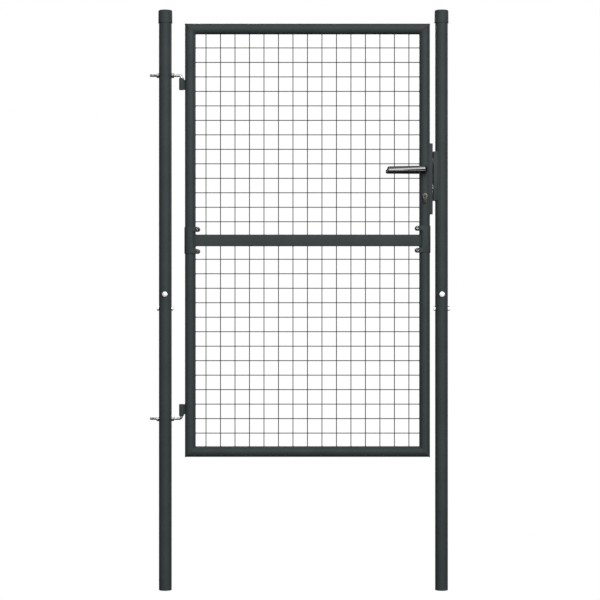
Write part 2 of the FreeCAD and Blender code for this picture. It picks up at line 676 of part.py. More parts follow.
os.makedirs("parts", exist_ok=True)
for name, shape in parts.items():
    shape.exportStep("parts/" + name + ".step")
    print(name, len(shape.Solids), "solid(s)", "valid" if shape.isValid() else "NOT VALID",
          round(shape.Volume / 1000, 2), "cm3")
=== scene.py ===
import math
import bpy
import bmesh
from mathutils import Matrix, Vector


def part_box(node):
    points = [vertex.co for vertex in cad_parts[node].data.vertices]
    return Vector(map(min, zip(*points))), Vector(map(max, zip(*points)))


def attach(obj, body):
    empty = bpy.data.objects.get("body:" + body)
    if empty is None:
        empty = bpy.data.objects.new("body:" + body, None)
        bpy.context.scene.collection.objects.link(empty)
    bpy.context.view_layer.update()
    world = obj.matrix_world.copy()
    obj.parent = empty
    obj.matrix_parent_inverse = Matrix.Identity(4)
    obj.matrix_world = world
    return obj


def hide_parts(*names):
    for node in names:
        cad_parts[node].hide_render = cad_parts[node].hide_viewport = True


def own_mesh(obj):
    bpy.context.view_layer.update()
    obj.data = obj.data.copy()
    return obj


# Garden gate: powder-coated tube and welded wire, zinc-plated hinge bolts, black lacquered levers.
# Lengths are in millimetres times mm, so that Blender gets metres.

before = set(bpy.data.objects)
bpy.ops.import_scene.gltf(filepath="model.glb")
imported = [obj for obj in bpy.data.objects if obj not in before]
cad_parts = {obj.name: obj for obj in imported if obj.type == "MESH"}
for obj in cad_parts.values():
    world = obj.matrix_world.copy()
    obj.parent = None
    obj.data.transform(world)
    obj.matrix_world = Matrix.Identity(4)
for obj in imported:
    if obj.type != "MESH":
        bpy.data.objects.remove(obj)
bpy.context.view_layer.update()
mm = 0.001
fullTurn = 2 * math.pi
quarter = math.pi / 2
front = Vector((0, -1, 0))
back = Vector((0, 1, 0))
right = Vector((1, 0, 0))
left = Vector((-1, 0, 0))
up = Vector((0, 0, 1))
down = Vector((0, 0, -1))


def middle(node):
    low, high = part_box(node)
    return (low + high) / 2


def axisX(node):
    return middle(node).x


# the few places that everything else is worked out from
postX = {"hinge": axisX("hinge_post_upper"), "latch": axisX("latch_post_upper")}
stileX = {"left": axisX("left_stile_upper"), "right": axisX("right_stile_upper")}
crossbarZ = middle("crossbar").z
topRailZ = middle("top_rail").z
bottomRailZ = middle("bottom_rail").z
spindleAt = middle("spindle")
keyAt = middle("cylinder_plugs")


# small tools

def standing(at, along):
    # a matrix that takes local Z to the given direction, at the given place
    return Matrix.Translation(at) @ Vector(along).to_track_quat("Z", "Y").to_matrix().to_4x4()


def flatTowards(where, direction):
    # turns a hexagon about its axis so that one flat faces the given way
    wanted = where.to_3x3().inverted() @ Vector(direction)
    return where @ Matrix.Rotation(math.atan2(wanted.y, wanted.x), 4, "Z")


def newVertices(bm, before):
    return [vertex for vertex in bm.verts if vertex not in before]


def edgesOf(vertices):
    return list({edge for vertex in vertices for edge in vertex.link_edges})


def facesOf(vertices):
    return list({face for vertex in vertices for face in vertex.link_faces})


def pushedOut(bm, edges):
    # extrudes a ring of edges; gives the new vertices and the new ring
    grown = bmesh.ops.extrude_edge_only(bm, edges=edges)["geom"]
    made = [item for item in grown if isinstance(item, bmesh.types.BMVert)]
    fresh = set(made)
    ring = [item for item in grown if isinstance(item, bmesh.types.BMEdge) and set(item.verts) <= fresh]
    return made, ring


def lastEdges(swept):
    return [item for item in swept["geom_last"] if isinstance(item, bmesh.types.BMEdge)]


def turned(bm, profile, steps, where, closed=True):
    # a (radius, height) profile spun a full turn about local Z
    before = set(bm.verts)
    points = [bm.verts.new((radius, 0, height)) for radius, height in profile]
    pairs = list(zip(points, points[1:] + (points[:1] if closed else [])))
    edges = [bm.edges.new(pair) for pair in pairs]
    bmesh.ops.spin(bm, geom=points + edges, cent=(0, 0, 0), axis=(0, 0, 1), dvec=(0, 0, 0),
                   angle=fullTurn, steps=steps, use_merge=True)
    made = newVertices(bm, before)
    bmesh.ops.remove_doubles(bm, verts=made, dist=0.002 * mm)
    made = newVertices(bm, before)
    bmesh.ops.recalc_face_normals(bm, faces=facesOf(made))
    bmesh.ops.transform(bm, matrix=where, verts=made)


def arc(centreRadius, centreHeight, radius, start, end, steps):
    # points of a round stretch of a profile, angles in degrees from straight out
    turns = [math.radians(start + (end - start) * i / steps) for i in range(steps + 1)]
    return [(centreRadius + radius * math.cos(t), centreHeight + radius * math.sin(t)) for t in turns]


def hexagonRadius(flats, angle):
    return flats / 2 / math.cos((angle + fullTurn / 12) % (fullTurn / 6) - fullTurn / 12)


def ringed(bm, sections, where, steps=36, closed=False):
    # rings of vertices joined one after another; a section gives radius and height at an angle
    before = set(bm.verts)
    made = bmesh.ops.create_circle(bm, cap_ends=False, segments=steps, radius=1)["verts"]
    edges = edgesOf(made)
    firstEdges = edges
    for number, section in enumerate(sections):
        if number:
            made, edges = pushedOut(bm, edges)
        for vertex in made:
            angle = math.atan2(vertex.co.y, vertex.co.x)
            radius, height = section(angle)
            vertex.co = (radius * math.cos(angle), radius * math.sin(angle), height)
    if closed:
        bmesh.ops.bridge_loops(bm, edges=firstEdges + edges)
    else:
        bmesh.ops.edgeloop_fill(bm, edges=firstEdges)
        bmesh.ops.edgeloop_fill(bm, edges=edges)
    made = newVertices(bm, before)
    bmesh.ops.recalc_face_normals(bm, faces=facesOf(made))
    bmesh.ops.transform(bm, matrix=where, verts=made)


def addPiece(name, bm, body, material, nodes=(), smooth=35):
    mesh = bpy.data.meshes.new(name)
    bm.to_mesh(mesh)
    bm.free()
    mesh.materials.append(material)
    mesh.shade_smooth()
    mesh.set_sharp_from_angle(angle=math.radians(smooth))
    piece = bpy.data.objects.new(name, mesh)
    bpy.context.scene.collection.objects.link(piece)
    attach(piece, body)
    if nodes:
        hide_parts(*nodes)
    return piece


def addEased(name, node, width, body, material, segments=2, angle=30):
    addPiece(name, easedCopy(node, width, segments, angle), body, material, [node])


def easedCopy(node, width, segments, angle):
    # a CAD node's shape with its sharp edges broken, as sheet and castings have them
    bm = bmesh.new()
    bm.from_mesh(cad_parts[node].data)
    bmesh.ops.remove_doubles(bm, verts=bm.verts[:], dist=0.01 * mm)
    bmesh.ops.dissolve_limit(bm, angle_limit=math.radians(1), verts=bm.verts[:], edges=bm.edges[:])
    sharp = [edge for edge in bm.edges if edge.is_manifold and edge.calc_face_angle(0) > math.radians(angle)]
    bmesh.ops.bevel(bm, geom=sharp, offset=width, offset_type="OFFSET", segments=segments, profile=0.5,
                    affect="EDGES", clamp_overlap=True, material=-1)
    return bm


def weldBead(bm, path, outwards, closed, width, height, pitch=2.6 * mm, sides=8):
    # a ripple-topped bead laid along a path; outwards gives the way that its crown faces
    count = len(path)
    frames = []
    for i, point in enumerate(path):
        ahead = path[(i + 1) % count] if closed else path[min(i + 1, count - 1)]
        behind = path[i - 1] if closed or i else path[0]
        tangent = (ahead - behind).normalized()
        crown = (outwards[i] - tangent * outwards[i].dot(tangent)).normalized()
        run = i * (path[1] - path[0]).length
        swell = 1 + 0.14 * math.sin(fullTurn * run / pitch)
        if not closed:
            swell *= min(1, 0.25 + min(i, count - 1 - i) * 0.45)  # tapers at both ends
        axes = Matrix((crown * height * swell, tangent.cross(crown) * width * swell, tangent * mm))
        frames.append(Matrix.Translation(point) @ axes.transposed().to_4x4())
    before = set(bm.verts)
    made = bmesh.ops.create_circle(bm, cap_ends=False, segments=sides, radius=1, matrix=frames[0])["verts"]
    edges = edgesOf(made)
    firstEdges = edges
    for i in range(1, count):
        made, edges = pushedOut(bm, edges)
        bmesh.ops.transform(bm, matrix=frames[i] @ frames[i - 1].inverted(), verts=made)
    if closed:
        bmesh.ops.bridge_loops(bm, edges=firstEdges + edges)
    else:
        bmesh.ops.edgeloop_fill(bm, edges=firstEdges)
        bmesh.ops.edgeloop_fill(bm, edges=edges)
    bmesh.ops.recalc_face_normals(bm, faces=facesOf(newVertices(bm, before)))


def roundFoot(tubeX, tubeRadius, y, way, gap=0.3 * mm):
    # where a sheet or bar at that depth meets a round tube's side, plus a little
    return tubeX + way * (math.sqrt(tubeRadius ** 2 - y ** 2) + gap)


def straightBead(bm, start, end, outward, width, height, step=0.9 * mm):
    count = max(4, round((end - start).length / step))
    path = [start.lerp(end, i / count) for i in range(count + 1)]
    weldBead(bm, path, [Vector(outward)] * len(path), False, width, height)


def edgeBead(bm, foot, y, low, high, inset, lean, width, height):
    # a bead up one edge of a sheet or bar; its crown faces the side that y is on
    straightBead(bm, Vector((foot, y, low.z + inset)), Vector((foot, y, high.z - inset)),
                 (lean, math.copysign(1, y), 0), width, height)


def endBeads(bm, tubeX, tubeRadius, way, halfDepth, low, high, height):
    # a bead across the lower end and one across the upper end, along the tube's side
    for z, rise in ((low.z, -1), (high.z, 1)):
        path = [Vector((roundFoot(tubeX, tubeRadius, y * mm, way), y * mm, z))
                for y in range(-halfDepth, halfDepth + 1)]
        weldBead(bm, path, [Vector((way * 0.7, 0, rise))] * len(path), False, 2.2 * mm, height)


# materials

def toLinear(hexColour):
    channels = [int(hexColour[i:i + 2], 16) / 255 for i in (0, 2, 4)]
    linear = [c / 12.92 if c <= 0.04045 else ((c + 0.055) / 1.055) ** 2.4 for c in channels]
    return (*linear, 1)


def perMm(size):
    # the texture scale that gives one feature every so many millimetres
    return 1 / (size * mm)


def addNode(tree, kind, settings=None, links=None):
    node = tree.nodes.new(kind)
    for key, value in (settings or {}).items():
        if isinstance(key, int) or key in node.inputs:
            node.inputs[key].default_value = value
        else:
            setattr(node, key, value)
    for key, source in (links or {}).items():
        tree.links.new(source, node.inputs[key])
    return node


def newMaterial(name, **sockets):
    made = bpy.data.materials.new(name)
    made.use_nodes = True
    shader = made.node_tree.nodes["Principled BSDF"]
    for key, value in sockets.items():
        shader.inputs[key.replace("_", " ")].default_value = value
    place = addNode(made.node_tree, "ShaderNodeTexCoord").outputs["Object"]
    return made, made.node_tree, shader, place


def twoTone(tree, shader, place, size, dark, light, low=0.35, high=0.65, detail=3):
    # colour that drifts between two shades, in patches of the given size in millimetres
    drift = addNode(tree, "ShaderNodeTexNoise", {"Scale": perMm(size), "Detail": detail}, {"Vector": place})
    ramp = addNode(tree, "ShaderNodeValToRGB", links={"Fac": drift.outputs["Fac"]})
    ramp.color_ramp.elements[0].position = low
    ramp.color_ramp.elements[0].color = toLinear(dark)
    ramp.color_ramp.elements[1].position = high
    ramp.color_ramp.elements[1].color = toLinear(light)
    tree.links.new(ramp.outputs["Color"], shader.inputs["Base Color"])


def roughen(tree, shader, pattern, low, high):
    # a 0 to 1 pattern varies the roughness between two values
    band = addNode(tree, "ShaderNodeMapRange", {"To Min": low, "To Max": high}, {"Value": pattern})
    tree.links.new(band.outputs["Result"], shader.inputs["Roughness"])


def emboss(tree, shader, pattern, strength, depth, under=None):
    # a pattern raises the surface by a depth in millimetres, over a finer relief where there is one
    links = {"Height": pattern}
    if under:
        links["Normal"] = under.outputs["Normal"]
    relief = addNode(tree, "ShaderNodeBump", {"Strength": strength, "Distance": depth * mm}, links)
    tree.links.new(relief.outputs["Normal"], shader.inputs["Normal"])
    return relief


# anthracite polyester powder coat, sprayed and baked: satin, with a fine orange peel
coat = dict(dark="393f40", light="3d4344", drift=90, peel=1.3, peelDepth=0.048, grit=0.35, gritDepth=0.004,
            roughLow=0.56, roughHigh=0.64)


def powderCoat(name, look):
    made, tree, shader, place = newMaterial(name, Specular_IOR_Level=0.16)
    twoTone(tree, shader, place, look["drift"], look["dark"], look["light"])
    cloud, grit, peel = [
        addNode(tree, "ShaderNodeTexNoise", {"Scale": perMm(size), "Detail": detail}, {"Vector": place})
        for size, detail in ((look["drift"] / 5, 2), (look["grit"], 0), (look["peel"], 1))]
    roughen(tree, shader, cloud.outputs["Fac"], look["roughLow"], look["roughHigh"])
    fine = emboss(tree, shader, grit.outputs["Fac"], 0.5, look["gritDepth"])
    emboss(tree, shader, peel.outputs["Fac"], 0.7, look["peelDepth"], fine)
    return made


coatedPost = powderCoat("anthracitePowderCoatPosts", coat)
coatedLeaf = powderCoat("anthracitePowderCoatLeaf", {**coat, "drift": 110, "dark": "383e3f"})
# the same coat on the wire, with painted shade: darker than the tubes' coat so the thin wires read as shaded;
# a finer peel
wireCoatPaintedShade = {**coat, "drift": 60, "peel": 0.8, "dark": "262b2c", "light": "2b3031"}
wireCoatedWithPaintedShade = powderCoat("anthracitePowderCoatWirePaintedShade", wireCoatPaintedShade)

# zinc electroplate, bright chromated: metal with faint cloudy toning and fine drawn scratches
zinc = dict(dark="b4b6b7", light="cfd0d0", cloud=7, scratch=0.5)


def zincPlate(name, look, roughLow, roughHigh):
    made, tree, shader, place = newMaterial(name, Metallic=1.0)
    twoTone(tree, shader, place, look["cloud"], look["dark"], look["light"], 0.3, 0.7, 4)
    toning, scratches = [
        addNode(tree, "ShaderNodeTexNoise", {"Scale": perMm(size), "Detail": detail}, {"Vector": place})
        for size, detail in ((look["cloud"] / 2, 3), (look["scratch"], 2))]
    roughen(tree, shader, toning.outputs["Fac"], roughLow, roughHigh)
    emboss(tree, shader, scratches.outputs["Fac"], 0.4, 0.01)
    return made


zincBolts = zincPlate("brightZincPlate", zinc, 0.24, 0.34)
zincGlossy = zincPlate("glossyZincPlate", zinc, 0.1, 0.17)  # brighter, on the small machine bolts
# zinc-flake coat on the round-head bolts: pale matt silver
zincFlake = zincPlate("mattZincFlake", {**zinc, "dark": "e6e6e5", "light": "f0f0ef"}, 0.5, 0.57)
# passivated sheet of the lock case: yellower and duller
sheetZinc = {**zinc, "dark": "a3a398", "light": "b9b9ae", "cloud": 14}
zincSheet = zincPlate("zincPlatedSheet", sheetZinc, 0.35, 0.5)

# hot-dip galvanised tube: dull metal in interlocked spangles about 6 mm wide
galvanised, tree, shader, place = newMaterial("hotDipGalvanised", Metallic=1.0)
spangle = addNode(tree, "ShaderNodeTexVoronoi", {"Scale": perMm(6)}, {"Vector": place})
tone = addNode(tree, "ShaderNodeMix", {"data_type": "RGBA", 6: toLinear("8f9496"), 7: toLinear("b9bdbe")},
               {0: spangle.outputs["Color"]})
tree.links.new(tone.outputs[2], shader.inputs["Base Color"])
roughen(tree, shader, spangle.outputs["Color"], 0.4, 0.6)

# moulded polyamide cap, dyed to the coat's grey: even colour, dull spark-eroded grain
moulded, tree, shader, place = newMaterial("mouldedPolyamide", Specular_IOR_Level=0.2)
twoTone(tree, shader, place, 40, "383e3f", "3c4243")
erosion = addNode(tree, "ShaderNodeTexVoronoi", {"Scale": perMm(0.45)}, {"Vector": place})
emboss(tree, shader, erosion.outputs["Distance"], 0.5, 0.02)
roughen(tree, shader, erosion.outputs["Distance"], 0.6, 0.75)

# black gloss lacquer on die-cast zinc: deep black, wet-looking, a very slow orange peel
lacquer, tree, shader, place = newMaterial("blackGlossLacquer", Coat_Weight=1.0, Coat_Roughness=0.04)
twoTone(tree, shader, place, 30, "070708", "0b0b0c")
smear = addNode(tree, "ShaderNodeTexNoise", {"Scale": perMm(9), "Detail": 4}, {"Vector": place})
roughen(tree, shader, smear.outputs["Fac"], 0.1, 0.22)
slow = addNode(tree, "ShaderNodeTexNoise", {"Scale": perMm(3.5), "Detail": 1}, {"Vector": place})
emboss(tree, shader, slow.outputs["Fac"], 0.5, 0.012)


# nickel on turned and milled brass: smoky metal with the lathe's fine rings, 0.5 mm apart
def latheNickel(name, dark, light):
    made, tree, shader, place = newMaterial(name, Metallic=1.0)
    twoTone(tree, shader, place, 5, dark, light)
    centred = addNode(tree, "ShaderNodeMapping", {"Location": (-keyAt.x, 0, -keyAt.z), "Scale": (1, 0, 1)},
                      {"Vector": place})
    ringScale = perMm(0.5) * math.pi / 10  # the texture's rings are pi / 10 apart at scale 1
    lathe = addNode(tree, "ShaderNodeTexWave", {"wave_type": "RINGS", "rings_direction": "SPHERICAL",
                                                "Scale": ringScale, "Distortion": 0.6},
                    {"Vector": centred.outputs["Vector"]})
    emboss(tree, shader, lathe.outputs["Fac"], 0.25, 0.01)
    roughen(tree, shader, lathe.outputs["Fac"], 0.3, 0.4)
    return made


darkNickel = latheNickel("darkNickelOnBrass", "3d3c39", "4a4945")
satinNickel = latheNickel("satinNickelOnBrass", "5b5a55", "6b6a64")

# nickel-plated steel bolts: warm grey metal, polished along their travel
nickel, tree, shader, place = newMaterial("nickelPlatedSteel", Metallic=1.0)
twoTone(tree, shader, place, 8, "a19f98", "b5b3ab")
along = addNode(tree, "ShaderNodeMapping", {"Scale": (0.05, 1, 1)}, {"Vector": place})
lines = addNode(tree, "ShaderNodeTexNoise", {"Scale": perMm(0.4), "Detail": 2},
                {"Vector": along.outputs["Vector"]})
roughen(tree, shader, lines.outputs["Fac"], 0.22, 0.4)

# black nylon bush, turned from rod: dull, with a slight tool grain
nylon, tree, shader, place = newMaterial("blackNylon")
twoTone(tree, shader, place, 3, "151516", "1c1c1d")
tool = addNode(tree, "ShaderNodeTexNoise", {"Scale": perMm(0.5), "Detail": 1}, {"Vector": place})
roughen(tree, shader, tool.outputs["Fac"], 0.45, 0.6)

# oiled spring wire: dark drawn steel with a sheen of oil
springWire, tree, shader, place = newMaterial("oiledSpringWire", Metallic=1.0)
twoTone(tree, shader, place, 4, "56534f", "6b6863")
drawn = addNode(tree, "ShaderNodeTexNoise", {"Scale": perMm(1.2), "Detail": 2}, {"Vector": place})
roughen(tree, shader, drawn.outputs["Fac"], 0.25, 0.4)
print("materials made")


# posts: 44 mm tube in two halves, ends eased by the saw and the coat
postLook = dict(radius=22 * mm, wall=1.5 * mm, ease=0.4 * mm, steps=96, boltGap=1 * mm)


def tubeProfile(radius, wall, ease, low, high):
    return [(radius - ease, low), (radius, low + ease), (radius, high - ease), (radius - ease, high),
            (radius - wall, high), (radius - wall, low)]


def nearWindow(point, low, high, reach=30 * mm):
    # level with the window, and close to it sideways
    return low.z < point.z < high.z and all(low[k] - reach < point[k] < high[k] + reach for k in (0, 1))


def openWindow(bm, low, high):
    # cuts a box-shaped window through whatever wall stands in the box
    for axis in (2, 1, 0):
        plain = Vector((axis == 0, axis == 1, axis == 2))
        for place in (low[axis], high[axis]):
            near = bm.faces[:]
            if axis < 2:
                near = [face for face in near if nearWindow(face.calc_center_median(), low, high)]
            parts = near + list({e for f in near for e in f.edges}) + list({v for f in near for v in f.verts})
            bmesh.ops.bisect_plane(bm, geom=parts, dist=0.001 * mm, plane_co=plain * place, plane_no=plain)
    inside = [face for face in bm.faces
              if all(low[k] < face.calc_center_median()[k] < high[k] for k in range(3))]
    bmesh.ops.delete(bm, geom=inside, context="FACES")
    rims = [edge for edge in bm.edges if edge.is_boundary]
    bmesh.ops.bridge_loops(bm, edges=rims)


for side, x in postX.items():
    for half in ("lower", "upper"):
        node = side + "_post_" + half
        low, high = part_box(node)
        bm = bmesh.new()
        turned(bm, tubeProfile(postLook["radius"], postLook["wall"], postLook["ease"], low.z, high.z),
               postLook["steps"], Matrix.Translation((x, 0, 0)))
        if node == "latch_post_upper":
            for bolt in ("latch_bolt", "deadbolt"):  # a window for each bolt, in the wall that faces it
                low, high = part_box(bolt)
                gap = postLook["boltGap"]
                openWindow(bm, Vector((x - postLook["radius"] - 5 * mm, low.y - gap, low.z - gap)),
                           Vector((x, high.y + gap, high.z + gap)))
        addPiece(side + "Post" + half.capitalize(), bm, "posts", coatedPost, [node])

# caps: a small lip at the foot, a rounded shoulder, a slight crown with the moulding gate in its middle
capLook = dict(wall=3 * mm, play=0.1 * mm, round=3 * mm, draft=0.25 * mm, lip=0.35 * mm, lipHeight=3.2 * mm,
               crown=0.5 * mm, gate=1.6 * mm, gateDepth=0.25 * mm)
for side, x in postX.items():
    low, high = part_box(side + "_post_cap")
    radius = (high.x - low.x) / 2
    inner = postLook["radius"] + capLook["play"]
    top = high.z
    lipTop = low.z + capLook["lipHeight"]
    waist = radius - capLook["lip"]
    shoulder = waist - capLook["draft"]
    roof = top - capLook["wall"]
    dimple = top - capLook["gateDepth"]
    profile = [(0, roof), (inner - 1 * mm, roof), (inner, roof - 1 * mm), (inner, low.z)]
    profile += [(radius - 0.4 * mm, low.z), (radius, low.z + 0.4 * mm), (radius, lipTop - 0.3 * mm),
                (radius - 0.1 * mm, lipTop), (waist, lipTop + 0.15 * mm)]
    profile += arc(shoulder - capLook["round"], top - capLook["round"] - capLook["crown"] * 0.6,
                   capLook["round"], 0, 84, 8)
    profile += [(shoulder * 0.5, top - capLook["crown"] * 0.12), (capLook["gate"], top),
                (capLook["gate"] - 0.2 * mm, dimple), (0, dimple)]
    bm = bmesh.new()
    turned(bm, profile, 96, Matrix.Translation((x, 0, 0)), closed=False)
    addPiece(side + "PostCap", bm, "posts", moulded, [side + "_post_cap"])
print("posts and caps made")


# fasteners: a bolt's thread is its radius, and flats is the width across them
smallBolt = dict(thread=3 * mm, pitch=1 * mm, flats=10 * mm, head=4 * mm, nut=5 * mm)  # M6
postBolt = dict(thread=4 * mm, pitch=1.25 * mm, flats=13 * mm, head=5.3 * mm, nut=6.5 * mm)  # M8
hingeThread = dict(thread=5 * mm, pitch=1.5 * mm, flats=17 * mm, nut=8 * mm)  # M10


def hexDrop(flats, radius):
    # how far the turned-off corner lies below the face at that radius
    return max(0, radius - flats * 0.48) * math.tan(math.radians(30))


def hexCorner(flats, angle, height, rise):
    # a hexagon's edge with its corners turned off, rising (1) or falling (-1) from the given height
    radius = hexagonRadius(flats, angle)
    return radius, height + rise * hexDrop(flats, radius)


def addNut(bm, bolt, where):
    flats, height, bore = bolt["flats"], bolt["nut"], bolt["thread"]
    ringed(bm, [lambda a: hexCorner(flats, a, 0, 1), lambda a: hexCorner(flats, a, height, -1),
                lambda a: (flats * 0.48, height), lambda a: (bore * 1.12, height),
                lambda a: (bore, height - bore * 0.15), lambda a: (bore, bore * 0.15),
                lambda a: (bore * 1.12, 0), lambda a: (flats * 0.48, 0)], where, closed=True)


def addHexHead(bm, bolt, where, washer=0.3 * mm):
    # a cold-forged head: washer face below, shallow dish above
    flats, height = bolt["flats"], bolt["head"]
    ringed(bm, [lambda a: (flats * 0.2, 0), lambda a: (flats * 0.47, 0), lambda a: (flats * 0.47, washer),
                lambda a: (hexagonRadius(flats, a), washer), lambda a: hexCorner(flats, a, height, -1),
                lambda a: (flats * 0.48, height), lambda a: (flats * 0.34, height),
                lambda a: (flats * 0.3, height - 0.25 * mm), lambda a: (flats * 0.1, height - 0.3 * mm)],
           where)


def addThread(bm, bolt, length, where, steps=24):
    # a rolled V thread, faded in and out over its end turns, sunk a little into a plain core
    before = set(bm.verts)
    radius, pitch = bolt["thread"], bolt["pitch"]
    root = radius - 0.58 * pitch
    sunk = root - 0.06 * mm
    crest = radius - 0.03 * mm
    turns = length / pitch - 1
    corners = ((sunk, 0.03), (crest, 0.42), (crest, 0.58), (sunk, 0.97))
    points = [bm.verts.new((across, 0, height * pitch)) for across, height in corners]
    edges = [bm.edges.new(pair) for pair in zip(points, points[1:] + points[:1])]
    swept = bmesh.ops.spin(bm, geom=points + edges, cent=(0, 0, 0), axis=(0, 0, 1),
                           dvec=(0, 0, pitch / steps), angle=fullTurn * turns, steps=round(turns * steps))
    bmesh.ops.edgeloop_fill(bm, edges=edges)
    bmesh.ops.edgeloop_fill(bm, edges=lastEdges(swept))
    made = newVertices(bm, before)
    for vertex in made:
        share = max(0.05, min(1, vertex.co.z / pitch, (length - vertex.co.z) / pitch))
        far = vertex.co.xy.length
        vertex.co.xy *= (sunk + (far - sunk) * share) / far
    bmesh.ops.recalc_face_normals(bm, faces=facesOf(made))
    bmesh.ops.transform(bm, matrix=where, verts=made)
    turned(bm, [(0, 0), (root - 0.5 * mm, 0), (root, 0.5 * mm), (root, length - 0.5 * mm),
                (root - 0.5 * mm, length), (0, length)], steps, where, closed=False)


# round-head bolts through the posts from the front
roundHead = dict(radius=9.5 * mm, height=5 * mm, edge=1.2 * mm, crown=0.55 * mm, shank=4 * mm, inside=4 * mm)
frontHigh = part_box("post_front_bolts")[1]
frontZ = middle("post_front_bolts").z
bm = bmesh.new()
nuts = bmesh.new()
for x in postX.values():
    headRadius, height, edge = roundHead["radius"], roundHead["height"], roundHead["edge"]
    shank, root = roundHead["shank"], -roundHead["inside"]
    seat = Vector((x, -postLook["radius"], frontZ))
    profile = [(0, root), (shank, root), (shank, 0), (headRadius - 0.5 * mm, 0)]
    profile += arc(headRadius - edge, height - roundHead["crown"] - edge, edge, 0, 80, 6)
    profile += [(headRadius * share, height - roundHead["crown"] * share ** 2) for share in (0.7, 0.45, 0.2)]
    profile += [(0, height)]
    turned(bm, profile, 48, standing(seat, front), closed=False)
    tail = Vector((x, postLook["radius"] - 1 * mm, frontZ))
    addThread(bm, postBolt, frontHigh.y - tail.y, standing(tail, back))
    addNut(nuts, postBolt, standing(Vector((x, postLook["radius"], frontZ)), back))
addPiece("postFrontBolts", bm, "posts", zincFlake, ["post_front_bolts"])
addPiece("postFrontNuts", nuts, "posts", zincBolts, ["post_front_nuts"], smooth=20)


def tiltedFlat(degrees):
    # the way one flat of a hexagon faces: forwards, and up by some degrees
    return 0, -math.cos(math.radians(degrees)), math.sin(math.radians(degrees))


# hexagon bolts through the posts from the gate's side, their nuts outside
crossTilt = 9
crossZ = middle("post_cross_bolts").z
crossLow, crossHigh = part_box("post_cross_bolts")
bm = bmesh.new()
nuts = bmesh.new()
for x, away, end in ((postX["hinge"], left, crossLow.x), (postX["latch"], right, crossHigh.x)):
    near = Vector((x, 0, crossZ)) - away * postLook["radius"]
    far = Vector((x, 0, crossZ)) + away * postLook["radius"]
    addHexHead(bm, postBolt, flatTowards(standing(near, -away), tiltedFlat(crossTilt)))
    addThread(bm, postBolt, abs(end - far.x) + 1 * mm, standing(far - away * 1 * mm, away))
    addNut(nuts, postBolt, flatTowards(standing(far, away), tiltedFlat(crossTilt)))
addPiece("postCrossBolts", bm, "posts", zincBolts, ["post_cross_bolts"], smooth=20)
addPiece("postCrossNuts", nuts, "posts", zincBolts, ["post_cross_nuts"], smooth=20)


# hinge bolts: a thread rolled on one leg, the other leg bent up or down as the pin
hingeLook = dict(radius=5 * mm, bend=8 * mm, threaded=88 * mm, ease=0.8 * mm, point=0.84, nutTilt=(23, 26))
pinX = axisX("upper_hinge_barrel")
rodZ = {"upper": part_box("upper_hinge_bolt")[1].z - hingeLook["radius"],
        "lower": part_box("lower_hinge_bolt")[0].z + hingeLook["radius"]}
for level, turn in (("upper", down), ("lower", up)):
    node = level + "_hinge_bolt"
    low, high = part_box(node)
    pinEnd = low.z if turn == down else high.z
    bm = bmesh.new()
    addThread(bm, hingeThread, hingeLook["threaded"], standing(Vector((low.x, 0, rodZ[level])), right))
    plainStart = low.x + hingeLook["threaded"] - hingeThread["pitch"] * 1.5
    bendX = pinX - hingeLook["bend"]
    before = set(bm.verts)
    made = bmesh.ops.create_circle(bm, cap_ends=True, segments=32, radius=hingeLook["radius"],
                                   matrix=standing(Vector((plainStart, 0, rodZ[level])), right))["verts"]
    points, ring = pushedOut(bm, edgesOf(made))
    bmesh.ops.translate(bm, verts=points, vec=(bendX - plainStart, 0, 0))
    centre = Vector((bendX, 0, rodZ[level])) + turn * hingeLook["bend"]
    swept = bmesh.ops.spin(bm, geom=points + ring, cent=centre, axis=(0, 1, 0), dvec=(0, 0, 0),
                           angle=quarter if turn == down else -quarter, steps=12)
    ring = lastEdges(swept)
    for drop, shrink in ((pinEnd - turn.z * hingeLook["ease"], 1.0), (pinEnd, hingeLook["point"])):
        points, ring = pushedOut(bm, ring)
        for vertex in points:
            vertex.co = (pinX + (vertex.co.x - pinX) * shrink, vertex.co.y * shrink, drop)
    bmesh.ops.edgeloop_fill(bm, edges=ring)
    bmesh.ops.recalc_face_normals(bm, faces=facesOf(newVertices(bm, before)))
    addPiece(level + "HingeBolt", bm, "posts", zincBolts, [node])

bm = bmesh.new()
for rod in rodZ.values():
    for way, tilt in zip((left, right), hingeLook["nutTilt"]):
        at = Vector((postX["hinge"], 0, rod)) + way * postLook["radius"]
        addNut(bm, hingeThread, flatTowards(standing(at, way), tiltedFlat(tilt)))
addPiece("hingeNuts", bm, "posts", zincBolts, ["hinge_nuts"], smooth=20)
print("fasteners made")


# leaf frame: 37 mm tube, mitred corners with a weld bead round each, halves meeting at the crossbar
tubeLook = dict(radius=18.5 * mm, wall=1.5 * mm, ease=0.35 * mm, steps=96, beadWidth=2.6 * mm,
                beadHeight=1.2 * mm, beadSteps=176, beadSink=0.35 * mm, beadDressed=1.1 * mm)


def mitre(bm, corner, outside):
    # saws the tube off along the corner's diagonal and closes the wall again
    cut = bmesh.ops.bisect_plane(bm, geom=bm.verts[:] + bm.edges[:] + bm.faces[:], dist=0.001 * mm,
                                 plane_co=corner, plane_no=outside, clear_outer=True)["geom_cut"]
    bmesh.ops.bridge_loops(bm, edges=[item for item in cut if isinstance(item, bmesh.types.BMEdge)])


def leafTube(length0, length1, where):
    bm = bmesh.new()
    turned(bm, tubeProfile(tubeLook["radius"], tubeLook["wall"], tubeLook["ease"], length0, length1),
           tubeLook["steps"], where)
    return bm


# openings in the right stile: a slot for the case, and on each face holes for the spindle and the cylinder
cutLook = dict(slotHalf=8.5 * mm, past=1 * mm, reach=30 * mm, hole=5.9 * mm, stemHalf=4.4 * mm,
               stemLow=-22 * mm, stemHigh=-6.0 * mm)


